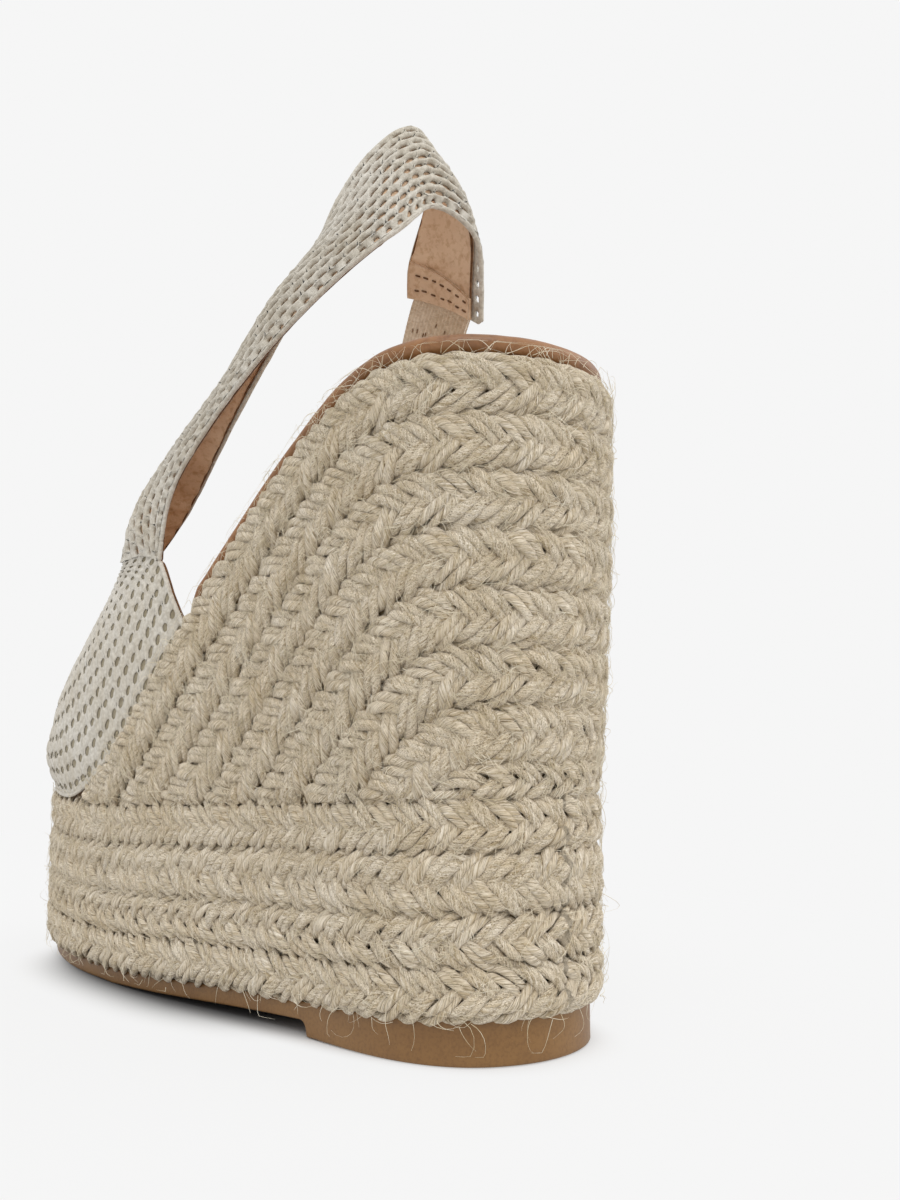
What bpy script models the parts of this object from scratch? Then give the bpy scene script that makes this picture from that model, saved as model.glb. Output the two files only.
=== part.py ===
"""High wedge slingback sandal, left shoe: braided wedge and platform, net upper, elasticated heel sling.

Frame: metres, +Z up, toe towards -Y, heel towards +Y, outer (lateral) side towards +X.
The origin is on the floor, under the middle of the shoe's bounding box.
"""
import math

import bmesh
import bpy
import numpy as np
from mathutils import Matrix

MM = 0.001

# Driving dimensions, in millimetres.
LENGTH = 218.0                # heel back to toe tip, over the braid
HEEL_HALF_WIDTH = 31.6
BALL_LATERAL = 38.5
BALL_MEDIAL = 42.0
SEAT_HEIGHT = 150.5           # top of the footbed at the back of the heel
PLATFORM_THICKNESS = 43.5
PLATFORM_LIFT_HEEL = 9.97     # underside of the platform braids above the floor
PLATFORM_LIFT_BALL = 4.4
TOE_SPRING = 6.0
SLOPE_START = 12.75           # distances from the heel back where the footbed slope starts and ends
SLOPE_END = 176.0
HEEL_BLOCK_LENGTH = 52.0
BASE_BANDS = 4
BASE_EDGES = (0.0, 0.23, 0.465, 0.75, 1.0)   # the platform plaits' edges, as shares of its height
WEDGE_BANDS = 8
WEDGE_PLAIT = 12.2            # width of each wedge plait; they run parallel to the wedge's top edge
BRAID_THICKNESS = 3.6
GAP = 0.35                    # clearance between neighbouring pieces
CORE_GAP = 1.5                # clearance between the cores and the braid round them
WEDGE_FLARE = 4.2             # how much further out the braid is at the seat than at the platform
WEDGE_FRONT = -52.0           # where the wedge braid runs out on the platform
TOPLINE_DROP = 5.0            # braid's top edge below the footbed's top
FRONT_RISE = 3.6              # footbed's top above the platform braid at the front
OUTSOLE_THICKNESS = 3.4
OUTSOLE_INSET = 3.3
FOOTBED_INSET = 5.2
RIM_WIDTH = 5.2
RIM_HEIGHT = 4.6
RIM_OVERHANG = 1.5            # rim's outer side beyond the platform's outline
RIM_CROWN = 0.7               # rim's top above the footbed
RIM_END = 12.5                # y of the rim's two front ends
INSOLE_THICKNESS = 2.0
FOAM_THICKNESS = 3.0
SOCK_THICKNESS = 1.2
NET_THICKNESS = 1.3
LINING_THICKNESS = 0.9

HEEL_Y = LENGTH / 2
TOE_Y = -LENGTH / 2
CENTRE_X = 1.16               # from the drawing axes to the frame, where the box is centred
CENTRE_Y = -2.09
HINGE_Y = -14.0               # where the sling swings on the vamp: an axis across the shoe
HINGE_Z = 121.0


# ---------------------------------------------------------------- curves

def spline(points, count, closed=False, power=0.75):
    """Natural or periodic cubic through points, resampled evenly in its chord^power parameter."""
    p = np.asarray(points, float)
    if closed:
        p = np.vstack([p, p[:1]])
    knots = np.concatenate([[0.0], np.cumsum(np.linalg.norm(np.diff(p, axis=0), axis=1) ** power)])
    h = np.diff(knots)
    n = len(p)
    slope = np.diff(p, axis=0) / h[:, None]
    matrix = np.zeros((n, n))
    rhs = np.zeros_like(p)
    for i in range(1, n - 1):
        matrix[i, i - 1:i + 2] = h[i - 1], 2 * (h[i - 1] + h[i]), h[i]
        rhs[i] = 6 * (slope[i] - slope[i - 1])
    if closed:
        matrix[0, 0], matrix[0, -1] = 1, -1
        matrix[-1, 0], matrix[-1, 1] = 2 * h[0], h[0]
        matrix[-1, -1], matrix[-1, -2] = 2 * h[-1], h[-1]
        rhs[-1] = 6 * (slope[0] - slope[-1])
    else:
        matrix[0, 0] = matrix[-1, -1] = 1
    bend = np.linalg.solve(matrix, rhs)
    t = np.linspace(0, knots[-1], count, endpoint=not closed)
    i = np.clip(np.searchsorted(knots, t, side="right") - 1, 0, n - 2)
    a = ((knots[i + 1] - t) / h[i])[:, None]
    b = 1 - a
    span = (h[i] ** 2)[:, None] / 6
    return a * p[i] + b * p[i + 1] + ((a ** 3 - a) * bend[i] + (b ** 3 - b) * bend[i + 1]) * span


def smooth(t):
    t = np.clip(t, 0.0, 1.0)
    return t * t * (3 - 2 * t)


def plan_outline():
    """Outer outline of the braid, from the heel's back round the lateral side, the toe and back."""
    heel, lat, med = HEEL_HALF_WIDTH, BALL_LATERAL, BALL_MEDIAL
    grow = lat - heel
    y = HEEL_Y
    points = [
        (0, y), (heel * 0.66, y - 8), (heel * 0.96, y - 26.7), (heel * 1.02, y - 52),
        (heel + 0.25 * grow + 1.6, y - 85), (heel + 0.7 * grow + 1.6, y - 112), (lat, y - 145),
        (lat * 0.9, y - 180), (lat * 0.52, y - 208), (-4, TOE_Y),
        (-med * 0.62, y - 210), (-med * 0.93, y - 185), (-med, y - 150), (-med * 0.9, y - 120),
        (-heel, y - 85), (-heel * 0.98, y - 52), (-heel * 0.93, y - 26.7), (-heel * 0.64, y - 8),
    ]
    return spline(points, 720, closed=True)


OUTLINE = plan_outline()


def outline_normals(line):
    tangent = np.roll(line, -1, 0) - np.roll(line, 1, 0)
    tangent /= np.linalg.norm(tangent, axis=1)[:, None]
    return np.column_stack([-tangent[:, 1], tangent[:, 0]])


NORMALS = outline_normals(OUTLINE)
NORMALS *= np.sign(((OUTLINE - OUTLINE.mean(0)) * NORMALS).sum())
TOE_INDEX = int(np.argmin(OUTLINE[:, 1]))


def platform_low(y):
    """Height of the platform braids' underside: a slight fall to the ball, then toe spring."""
    s = HEEL_Y - y
    fall = (PLATFORM_LIFT_BALL - PLATFORM_LIFT_HEEL) * np.clip(s / (0.62 * LENGTH), 0, 1)
    spring = TOE_SPRING * np.clip((s - 0.7 * LENGTH) / (0.3 * LENGTH), 0, 1) ** 2
    return PLATFORM_LIFT_HEEL + fall + spring


def platform_top(y):
    return platform_low(y) + PLATFORM_THICKNESS


def seat(y):
    """Height of the footbed's top surface along the shoe."""
    s = HEEL_Y - y
    front = platform_top(y) + FRONT_RISE
    return front + (SEAT_HEIGHT - front) * (1 - smooth((s - SLOPE_START) / (SLOPE_END - SLOPE_START)))


def flare(y, z):
    """Extra width of the wedge's wall at height z."""
    base = platform_top(y)
    level = np.clip((z - base) / (SEAT_HEIGHT - base), 0, 1)
    return WEDGE_FLARE * (1 - (1 - level) ** 2)


def braid_top(y):
    """Height of the wedge braid's top edge, which meets the platform at WEDGE_FRONT."""
    rise = seat(y) - TOPLINE_DROP - platform_top(y)
    rise_front = seat(WEDGE_FRONT) - TOPLINE_DROP - platform_top(WEDGE_FRONT)
    run = (HEEL_Y - y) / (HEEL_Y - WEDGE_FRONT)
    return platform_top(y) + np.maximum(rise - rise_front * run ** 3, 0.0)


def side_x(y, inset, lateral):
    """x of the outline, moved in by inset, at y."""
    line = OUTLINE - NORMALS * inset
    half = line[:TOE_INDEX] if lateral else line[TOE_INDEX:]
    order = np.argsort(half[:, 1])
    return np.interp(y, half[order, 1], half[order, 0])


# ---------------------------------------------------------------- scene and materials

def clear_scene():
    for item in list(bpy.data.objects):
        bpy.data.objects.remove(item, do_unlink=True)


def material(name, colour, roughness, metallic=0.0):
    made = bpy.data.materials.new(name)
    made.use_nodes = True
    shader = made.node_tree.nodes["Principled BSDF"]
    shader.inputs["Base Color"].default_value = (*colour, 1.0)
    shader.inputs["Roughness"].default_value = roughness
    shader.inputs["Metallic"].default_value = metallic
    return made


def collection(name):
    made = bpy.data.collections.new(name)
    bpy.context.scene.collection.children.link(made)
    return made


def placed(points):
    """Drawing coordinates in millimetres as frame coordinates in metres."""
    return [(MM * float(x + CENTRE_X), MM * float(y + CENTRE_Y), MM * float(z)) for x, y, z in points]


def add_object(name, vertices, faces, surface):
    """A mesh object from points in millimetres, with its faces turned outwards when it is closed."""
    mesh = bpy.data.meshes.new(name)
    mesh.from_pydata(placed(vertices), [], faces)
    work = bmesh.new()
    work.from_mesh(mesh)
    bmesh.ops.recalc_face_normals(work, faces=work.faces)
    if all(len(edge.link_faces) == 2 for edge in work.edges) and work.calc_volume(signed=True) < 0:
        bmesh.ops.reverse_faces(work, faces=work.faces)
    work.to_mesh(mesh)
    work.free()
    mesh.materials.append(surface)
    mesh.shade_smooth()
    mesh.set_sharp_from_angle(angle=math.radians(35))
    made = bpy.data.objects.new(name, mesh)
    SANDAL.objects.link(made)
    return made


def loft(name, rings, surface, closed_path=False):
    """A solid through closed section rings; an open path gets a flat cap at each end."""
    count = len(rings[0])
    vertices = [point for ring in rings for point in ring]
    faces = []
    for i in range(len(rings) if closed_path else len(rings) - 1):
        a, b = i * count, (i + 1) % len(rings) * count
        for j in range(count):
            k = (j + 1) % count
            faces.append((a + j, a + k, b + k, b + j))
    if not closed_path:
        faces.append(tuple(range(count)))
        faces.append(tuple(range(len(vertices) - count, len(vertices))))
    return add_object(name, vertices, faces, surface)


def sheet(name, grid, start, thickness, surface):
    """A shell on one side of a grid of points: it starts at that offset and has that thickness."""
    grid = np.asarray(grid, float)
    rows, columns = grid.shape[:2]
    along = np.gradient(grid, axis=0)
    across = np.gradient(grid, axis=1)
    normal = np.cross(along, across)
    normal /= np.linalg.norm(normal, axis=2)[..., None]
    points = (grid + normal * start).reshape(-1, 3)
    faces = [(r * columns + c, (r + 1) * columns + c, (r + 1) * columns + c + 1, r * columns + c + 1)
             for r in range(rows - 1) for c in range(columns - 1)]
    mesh = bpy.data.meshes.new(name)
    mesh.from_pydata(placed(points), [], faces)
    mesh.materials.append(surface)
    mesh.shade_smooth()
    made = bpy.data.objects.new(name, mesh)
    SANDAL.objects.link(made)
    solid = made.modifiers.new("thickness", "SOLIDIFY")
    solid.thickness = abs(thickness) * MM
    solid.offset = 1.0 if thickness > 0 else -1.0
    solid.use_even_offset = False
    return made


def hinge_empty(name, parts):
    """An empty on the sling's axis that carries the swinging parts."""
    empty = bpy.data.objects.new(name, None)
    empty.location = placed([(-CENTRE_X, HINGE_Y, HINGE_Z)])[0]
    SANDAL.objects.link(empty)
    for part in parts:
        part.parent = empty
        part.matrix_parent_inverse = Matrix.Translation(-empty.location)


# ---------------------------------------------------------------- sole unit

def stations(front, back, count, ends=0.4):
    """y values from back to front, closer together towards both ends."""
    angle = np.linspace(ends, count - ends, count + 1) * math.pi / count
    return (front + back) / 2 + (back - front) / 2 * np.cos(angle)


def plan_solid(name, ys, low, high, inset_low, inset_high, surface):
    """A solid that follows the shoe's outline between two heights given for each y."""
    rings = []
    for y, z0, z1, in0, in1 in zip(ys, low, high, inset_low, inset_high):
        x = [side_x(y, inset, lateral) for inset, lateral in
             ((in0, False), (in0, True), (in1, True), (in1, False))]
        rings.append([(x[0], y, z0), (x[1], y, z0), (x[2], y, z1), (x[3], y, z1)])
    return loft(name, rings, surface)


def constant(ys, value):
    return np.full(len(ys), value)


def rubber_outsole(surface):
    """Thin tread under the platform with the heel block moulded on, standing on the floor."""
    step = HEEL_Y - HEEL_BLOCK_LENGTH
    fillet = 3.0
    ys = stations(TOE_Y + OUTSOLE_INSET, HEEL_Y - OUTSOLE_INSET, 40)
    ys = ys[(ys > step + 1) | (ys < step - fillet - 1)]
    ys = np.sort(np.concatenate([ys, [step, step - 0.3 * fillet, step - fillet]]))[::-1]
    top = platform_low(ys) - GAP
    under = platform_low(ys) - OUTSOLE_THICKNESS
    under = np.maximum(under - (platform_low(-30.0) - OUTSOLE_THICKNESS), 0.0) + 0.0
    bottom = np.where(ys >= step - 0.01, 0.0, under)
    bottom = np.where(abs(ys - (step - 0.3 * fillet)) < 0.01, 0.7 * under, bottom)
    plan_solid("rubber_outsole", ys, bottom, top, constant(ys, OUTSOLE_INSET),
               constant(ys, OUTSOLE_INSET), surface)


def platform_core(surface):
    inset = BRAID_THICKNESS + CORE_GAP
    ys = stations(TOE_Y + inset, HEEL_Y - inset, 36)
    plan_solid("platform_core", ys, platform_low(ys), platform_top(ys) - GAP,
               constant(ys, inset), constant(ys, inset), surface)


def wedge_top(y):
    """Top of the wedge core, under the insole board."""
    return seat(y) - SOCK_THICKNESS - FOAM_THICKNESS - INSOLE_THICKNESS - 3 * GAP


def wedge_core(surface):
    inset = BRAID_THICKNESS + CORE_GAP
    ys = stations(-50.0, HEEL_Y - inset, 40)
    ys = ys[wedge_top(ys) > platform_top(ys) + 0.8]
    high = wedge_top(ys)
    plan_solid("wedge_core", ys, platform_top(ys), high, constant(ys, inset),
               inset - flare(ys, high), surface)


def footbed_layer(name, drop_top, thickness, inset, surface):
    """One layer of the footbed, parallel to the seat surface."""
    ys = stations(TOE_Y + inset, HEEL_Y - inset, 44)
    high = seat(ys) - drop_top
    low = np.maximum(high - thickness, platform_top(ys))
    plan_solid(name, ys, low, high, constant(ys, inset), constant(ys, inset), surface)


# ---------------------------------------------------------------- braids

def braid_section(half_width, thickness):
    """Half-oval strip section: (out, along) pairs from one edge to the other and back."""
    w, t = half_width, thickness
    return [(0, -w), (0.62 * t, -w), (t, -0.55 * w), (t, 0.55 * w), (0.62 * t, w), (0, w)]


def outline_loop(count):
    return np.arange(count) * len(OUTLINE) // count


def base_braid(index, surface):
    """One flat plait wound all the way round the platform."""
    low, high = (PLATFORM_THICKNESS * edge for edge in BASE_EDGES[index:index + 2])
    picks = outline_loop(48)
    rings = []
    for i in picks:
        x, y = OUTLINE[i]
        nx, ny = NORMALS[i]
        middle = platform_low(y) + (low + high) / 2
        ring = []
        for out, up in braid_section((high - low - GAP) / 2, BRAID_THICKNESS):
            out -= BRAID_THICKNESS
            ring.append((x + nx * out, y + ny * out, middle + up))
        rings.append(ring)
    return loft(f"base_braid_{index + 1}", rings, surface, closed_path=True)


def outline_arc():
    """Arc length along the outline from the heel's back: positive laterally, negative medially."""
    step = np.linalg.norm(np.diff(np.vstack([OUTLINE, OUTLINE[:1]]), axis=0), axis=1)
    forward = np.concatenate([[0.0], np.cumsum(step)])[:-1]
    return np.where(forward > step.sum() / 2, forward - step.sum(), forward)


ARC = outline_arc()
ARC_ORDER = np.argsort(ARC)


def on_outline(arc):
    """Point and outward normal at an arc length."""
    pick = [np.interp(arc, ARC[ARC_ORDER], column[ARC_ORDER]) for column in
            (OUTLINE[:, 0], OUTLINE[:, 1], NORMALS[:, 0], NORMALS[:, 1])]
    return pick


def front_arc(lateral):
    """Arc length at which the wedge's top edge meets the platform, on one side."""
    arcs = ARC[ARC_ORDER]
    side = arcs[arcs > 0] if lateral else arcs[arcs < 0][::-1]
    y = np.interp(side, arcs, OUTLINE[ARC_ORDER, 1])
    return side[np.argmax(y < WEDGE_FRONT)]


WEDGE_STATIONS = 71
TOP_ARCS = np.linspace(front_arc(False), front_arc(True), 900)
TOP_EDGE = np.column_stack([TOP_ARCS, braid_top(on_outline(TOP_ARCS)[1])])   # (arc, z), unrolled


def groove(arcs, depth):
    """Heights at those arc lengths of the line that runs at that distance under the top edge."""
    high = braid_top(on_outline(arcs)[1])
    low = high - 4.0 * depth - 20.0
    for _ in range(26):
        middle = (low + high) / 2
        away = np.hypot(arcs[:, None] - TOP_EDGE[:, 0], middle[:, None] - TOP_EDGE[:, 1]).min(1)
        low = np.where(away > depth, middle, low)
        high = np.where(away > depth, high, middle)
    return (low + high) / 2


def wedge_braid(index, surface):
    """One plait over the back of the wedge: level behind the heel, running down along both sides."""
    arcs = np.linspace(TOP_ARCS[0], TOP_ARCS[-1], WEDGE_STATIONS)
    x, y, nx, ny = on_outline(arcs)
    floor = platform_top(y) + GAP
    top = groove(arcs, index * WEDGE_PLAIT)
    bottom = np.maximum(groove(arcs, (index + 1) * WEDGE_PLAIT), floor)
    rings = []
    for i in np.flatnonzero(top - floor > 2.5):
        share = GAP / 2 / (top[i] - bottom[i])
        ring = []
        for out, place in braid_section(0.5 - share, BRAID_THICKNESS):
            z = bottom[i] + (top[i] - bottom[i]) * (place + 0.5)
            out += flare(y[i], z) - BRAID_THICKNESS
            ring.append((x[i] + nx[i] * out, y[i] + ny[i] * out, z))
        rings.append(ring)
    return loft(f"wedge_braid_{index + 1}", rings, surface)


def rim_binding(surface):
    """Rolled leather edge of the footbed, round the heel between the two ends of the upper."""
    arcs = ARC[ARC_ORDER]
    y = np.interp(arcs, arcs, OUTLINE[ARC_ORDER, 1])
    inside = arcs[(y > RIM_END) & (abs(arcs) < LENGTH)]
    rings = []
    for arc in np.linspace(inside[0], inside[-1], 36):
        x, y, nx, ny = on_outline(arc)
        ring = []
        for k in range(7):
            angle = 2 * math.pi * (k + 0.5) / 7
            out = RIM_OVERHANG - RIM_WIDTH / 2 * (1 - math.cos(angle))
            up = RIM_HEIGHT / 2 * (math.sin(angle) - 1) + RIM_CROWN
            ring.append((x + nx * out, y + ny * out, seat(y) + up))
        rings.append(ring)
    return loft("rim_binding", rings, surface)


# ---------------------------------------------------------------- upper

# Sections of the vamp from the lateral rear edge to the toe, each from its rim point at y to the throat.
VAMP_LATERAL = [
    (9.5, [(36.2, 2.0, 104.5), (36.0, -4.6, 113.0), (35.8, -15.0, 116.0), (35.0, -28.5, 115.5),
           (29.5, -35.0, 117.0), (21.5, -36.0, 119.0)]),
    (-14.0, [(38.4, -25.0, 90.0), (35.4, -40.0, 102.5), (27.0, -46.0, 108.0), (18.0, -45.5, 110.5)]),
    (-36.0, [(38.6, -45.0, 74.0), (34.4, -58.0, 90.0), (24.0, -58.0, 99.0), (12.0, -52.5, 104.0)]),
    (-58.0, [(37.6, -65.0, 62.5), (31.0, -76.0, 78.0), (18.0, -68.0, 92.0), (7.0, -57.0, 100.5)]),
    (-78.0, [(31.5, -84.0, 62.0), (21.0, -85.0, 76.0), (10.0, -72.0, 90.5), (3.0, -59.5, 99.0)]),
    (-91.0, [(22.0, -92.5, 61.5), (13.5, -87.0, 75.5), (5.5, -74.0, 89.5), (1.4, -59.9, 98.8)]),
]
TOE_CORNER = [(18.5, -97.5, 61.5), (14.0, -94.0, 67.5), (8.0, -85.0, 79.0), (2.5, -72.0, 90.5), (0.6, -60.0, 98.6)]
TOE_CENTRE = [(0.0, -100.5, 65.5), (0.0, -93.0, 73.0), (0.0, -76.0, 87.5), (0.0, -60.0, 98.5)]
VAMP_RIM_INSET = 1.7
VAMP_RIM_LIFT = 1.2

# Stations of the sling from the lateral neck round the heel to the hem: lower edge, crown, upper edge.
SLING = [
    [(36.1, -2.5, 123.5), (35.2, -23.5, 124.5), (21.0, -23.0, 127.0)],
    [(35.9, 1.0, 131.5), (34.7, -14.0, 135.0), (21.5, -11.5, 135.0)],
    [(35.0, 10.4, 141.2), (33.2, 4.5, 148.0), (23.0, 6.2, 144.0)],
    [(33.5, 30.0, 154.3), (30.2, 23.0, 162.0), (25.0, 27.0, 158.5)],
    [(30.5, 51.0, 166.5), (27.8, 41.0, 177.5), (24.5, 41.0, 174.5)],
    [(23.0, 70.5, 179.5), (23.3, 62.5, 188.5), (21.5, 55.0, 197.0)],
    [(15.0, 73.5, 187.5), (15.3, 68.5, 200.0), (13.8, 60.5, 212.0)],
    [(3.5, 70.5, 196.5), (4.0, 69.5, 208.0), (4.0, 63.5, 219.0)],
    [(-6.0, 72.5, 193.0), (-5.5, 70.0, 202.5), (-3.5, 60.0, 209.5)],
    [(-13.0, 69.0, 184.5), (-11.5, 60.5, 190.5), (-7.5, 47.5, 192.0)],
    [(-18.0, 63.5, 174.0), (-15.5, 54.0, 180.5), (-11.0, 43.0, 185.8)],
]
ELASTIC = [
    [(-18.6, 54.0, 174.8), (-13.6, 41.5, 184.6)],
    [(-21.8, 44.5, 165.0), (-17.0, 32.5, 174.6)],
    [(-25.5, 36.5, 155.5), (-20.5, 24.5, 165.0)],
]
MEDIAL_TAB = [
    [(-26.8, 36.5, 152.3), (-24.5, 29.0, 158.0), (-20.5, 21.8, 163.2)],
    [(-31.0, 22.5, 141.0), (-31.0, 13.5, 148.0), (-25.0, 9.5, 152.0)],
    [(-34.6, 8.5, 131.5), (-34.5, -6.0, 137.0), (-23.0, -8.0, 139.0)],
    [(-36.3, -2.5, 123.5), (-35.3, -23.0, 125.5), (-20.5, -23.0, 128.5)],
]


def surface_grid(cage, rows, columns, power=0.75):
    """Smooth grid of points through a cage of sections."""
    across = [spline(section, columns, power=power) for section in cage]
    return np.stack([spline([s[c] for s in across], rows) for c in range(columns)], axis=1)


def vamp_section(y, points, side):
    """One section of the vamp: a rim point on the braid's top edge, then the points given."""
    x = side_x(y, VAMP_RIM_INSET, side > 0)
    return [(x, y, braid_top(y) + VAMP_RIM_LIFT)] + [(side * px, py, pz) for px, py, pz in points]


def vamp_cage():
    lateral = [vamp_section(y, points, 1) for y, points in VAMP_LATERAL]
    medial = [vamp_section(y, points, -1) for y, points in VAMP_LATERAL[::-1]]
    toe = [TOE_CORNER, TOE_CENTRE, [(-x, y, z) for x, y, z in TOE_CORNER]]
    return lateral + toe + medial


def fabric(name, lining_name, grid, net, lining):
    """Net outside and lining inside, on the two faces of one surface."""
    return [sheet(name, grid, GAP / 2, NET_THICKNESS, net),
            sheet(lining_name, grid, -GAP / 2, -LINING_THICKNESS, lining)]


def elastic_gusset(surface):
    cage = [[a, tuple((np.array(a) + np.array(b)) / 2), b] for a, b in ELASTIC]
    return sheet("elastic_gusset", surface_grid(cage, 9, 5), -0.6, 1.2, surface)


def neck(name, vamp_edge, sling_edge, surface):
    """Short bridge of fabric where the sling leaves the vamp; it bends as the sling swings."""
    start, end = (spline(edge, 6) for edge in (vamp_edge, sling_edge))
    rows = [start * (1 - t) + end * t for t in (0.08, 0.36, 0.64, 0.92)]
    sheet(name, np.stack(rows), -0.8, 1.6, surface)


# ---------------------------------------------------------------- build

clear_scene()
SANDAL = collection("wedge_sandal")

jute = material("jute_braid", (0.62, 0.54, 0.40), 0.85)
rubber = material("outsole_rubber", (0.36, 0.22, 0.11), 0.45)
core = material("core_foam", (0.45, 0.36, 0.25), 0.9)
board = material("insole_board", (0.40, 0.30, 0.19), 0.8)
foam = material("footbed_foam", (0.80, 0.76, 0.66), 0.9)
leather = material("tan_leather", (0.50, 0.30, 0.16), 0.55)
net = material("cotton_net", (0.74, 0.71, 0.65), 0.85)
lining = material("peach_lining", (0.66, 0.45, 0.30), 0.7)
elastic = material("elastic_web", (0.72, 0.67, 0.58), 0.8)

rubber_outsole(rubber)
platform_core(core)
wedge_core(core)
for band in range(BASE_BANDS):
    base_braid(band, jute)
for band in range(WEDGE_BANDS):
    wedge_braid(band, jute)
footbed_layer("insole_board", SOCK_THICKNESS + FOAM_THICKNESS + 2 * GAP, INSOLE_THICKNESS,
              FOOTBED_INSET, board)
footbed_layer("footbed_foam", SOCK_THICKNESS + GAP, FOAM_THICKNESS, FOOTBED_INSET, foam)
footbed_layer("sock_leather", 0.0, SOCK_THICKNESS, FOOTBED_INSET, leather)
rim_binding(leather)

cage = vamp_cage()
fabric("vamp_net", "vamp_lining", surface_grid(cage, 37, 9)[::-1], net, lining)
swinging = fabric("sling_net", "sling_lining", surface_grid(SLING, 33, 5), net, lining)
swinging += fabric("medial_tab_net", "medial_tab_lining", surface_grid(MEDIAL_TAB, 10, 5), net, lining)
swinging.append(elastic_gusset(elastic))
hinge_empty("sling_axis", swinging)
neck("lateral_neck", cage[0][2:], SLING[0], net)
neck("medial_neck", cage[-1][2:], MEDIAL_TAB[-1], net)
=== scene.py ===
"""Looks for the wedge slingback sandal: plaited jute, knotted net upper, lining, leather and rubber.

Geometry is worked out in the drawing axes of the CAD, in millimetres, and placed by CENTRE_X and CENTRE_Y.
"""

import math

import bpy
import numpy as np
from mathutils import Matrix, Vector


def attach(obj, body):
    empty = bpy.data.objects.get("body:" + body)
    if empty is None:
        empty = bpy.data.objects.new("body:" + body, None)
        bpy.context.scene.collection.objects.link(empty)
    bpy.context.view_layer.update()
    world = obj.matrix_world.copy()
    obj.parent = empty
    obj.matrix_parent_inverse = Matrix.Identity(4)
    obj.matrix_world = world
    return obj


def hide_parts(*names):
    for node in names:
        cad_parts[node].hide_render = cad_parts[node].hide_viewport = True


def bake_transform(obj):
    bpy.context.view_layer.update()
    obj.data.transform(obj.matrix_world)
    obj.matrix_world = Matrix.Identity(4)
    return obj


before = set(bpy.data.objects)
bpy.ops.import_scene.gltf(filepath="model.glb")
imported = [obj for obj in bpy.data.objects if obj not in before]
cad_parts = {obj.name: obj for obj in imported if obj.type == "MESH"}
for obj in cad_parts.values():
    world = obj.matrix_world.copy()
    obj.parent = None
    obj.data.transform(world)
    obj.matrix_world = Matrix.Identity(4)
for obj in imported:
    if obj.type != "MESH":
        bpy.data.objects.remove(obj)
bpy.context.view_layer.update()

MM = 0.001
ROOT, SLING_BODY = "sole_and_vamp", "sling_strap"
CENTRE_X = 1.16
CENTRE_Y = -2.09
LENGTH = 218.0
HEEL_HALF_WIDTH = 31.6
BALL_LATERAL = 38.5
BALL_MEDIAL = 42.0
SEAT_HEIGHT = 150.5
PLATFORM_THICKNESS = 43.5
PLATFORM_LIFT_HEEL = 9.97
PLATFORM_LIFT_BALL = 4.4
TOE_SPRING = 6.0
SLOPE_START = 12.75
SLOPE_END = 176.0
HEEL_BLOCK_LENGTH = 52.0
BASE_EDGES = (0.0, 0.23, 0.465, 0.75, 1.0)
WEDGE_PLAIT = 12.2
WEDGE_FLARE = 4.2
WEDGE_FRONT = -52.0
TOPLINE_DROP = 5.0
FRONT_RISE = 3.6
OUTSOLE_THICKNESS = 3.4
OUTSOLE_INSET = 3.3
RIM_WIDTH = 5.2
RIM_HEIGHT = 4.6
RIM_OVERHANG = 1.5
RIM_CROWN = 0.7
RIM_END = 12.5
HEEL_Y = LENGTH / 2
TOE_Y = -LENGTH / 2
RNG = np.random.default_rng(20417)


# ------------ curves of the CAD

def spline(points, count, closed=False, power=0.75):
    """Natural or periodic cubic through points, resampled evenly in its chord^power parameter."""
    p = np.asarray(points, float)
    if closed:
        p = np.vstack([p, p[:1]])
    knots = np.concatenate([[0.0], np.cumsum(np.linalg.norm(np.diff(p, axis=0), axis=1) ** power)])
    h = np.diff(knots)
    n = len(p)
    slope = np.diff(p, axis=0) / h[:, None]
    matrix = np.zeros((n, n))
    rhs = np.zeros_like(p)
    for i in range(1, n - 1):
        matrix[i, i - 1:i + 2] = h[i - 1], 2 * (h[i - 1] + h[i]), h[i]
        rhs[i] = 6 * (slope[i] - slope[i - 1])
    if closed:
        matrix[0, 0], matrix[0, -1] = 1, -1
        matrix[-1, 0], matrix[-1, 1] = 2 * h[0], h[0]
        matrix[-1, -1], matrix[-1, -2] = 2 * h[-1], h[-1]
        rhs[-1] = 6 * (slope[0] - slope[-1])
    else:
        matrix[0, 0] = matrix[-1, -1] = 1
    bend = np.linalg.solve(matrix, rhs)
    t = np.linspace(0, knots[-1], count, endpoint=not closed)
    i = np.clip(np.searchsorted(knots, t, side="right") - 1, 0, n - 2)
    a = ((knots[i + 1] - t) / h[i])[:, None]
    b = 1 - a
    span = (h[i] ** 2)[:, None] / 6
    return a * p[i] + b * p[i + 1] + ((a ** 3 - a) * bend[i] + (b ** 3 - b) * bend[i + 1]) * span


def smooth(t):
    t = np.clip(t, 0.0, 1.0)
    return t * t * (3 - 2 * t)


def plan_outline():
    heel, lat, med = HEEL_HALF_WIDTH, BALL_LATERAL, BALL_MEDIAL
    grow = lat - heel
    y = HEEL_Y
    points = [
        (0, y), (heel * 0.66, y - 8), (heel * 0.96, y - 26.7), (heel * 1.02, y - 52),
        (heel + 0.25 * grow + 1.6, y - 85), (heel + 0.7 * grow + 1.6, y - 112), (lat, y - 145),
        (lat * 0.9, y - 180), (lat * 0.52, y - 208), (-4, TOE_Y),
        (-med * 0.62, y - 210), (-med * 0.93, y - 185), (-med, y - 150), (-med * 0.9, y - 120),
        (-heel, y - 85), (-heel * 0.98, y - 52), (-heel * 0.93, y - 26.7), (-heel * 0.64, y - 8),
    ]
    return spline(points, 720, closed=True)


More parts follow.
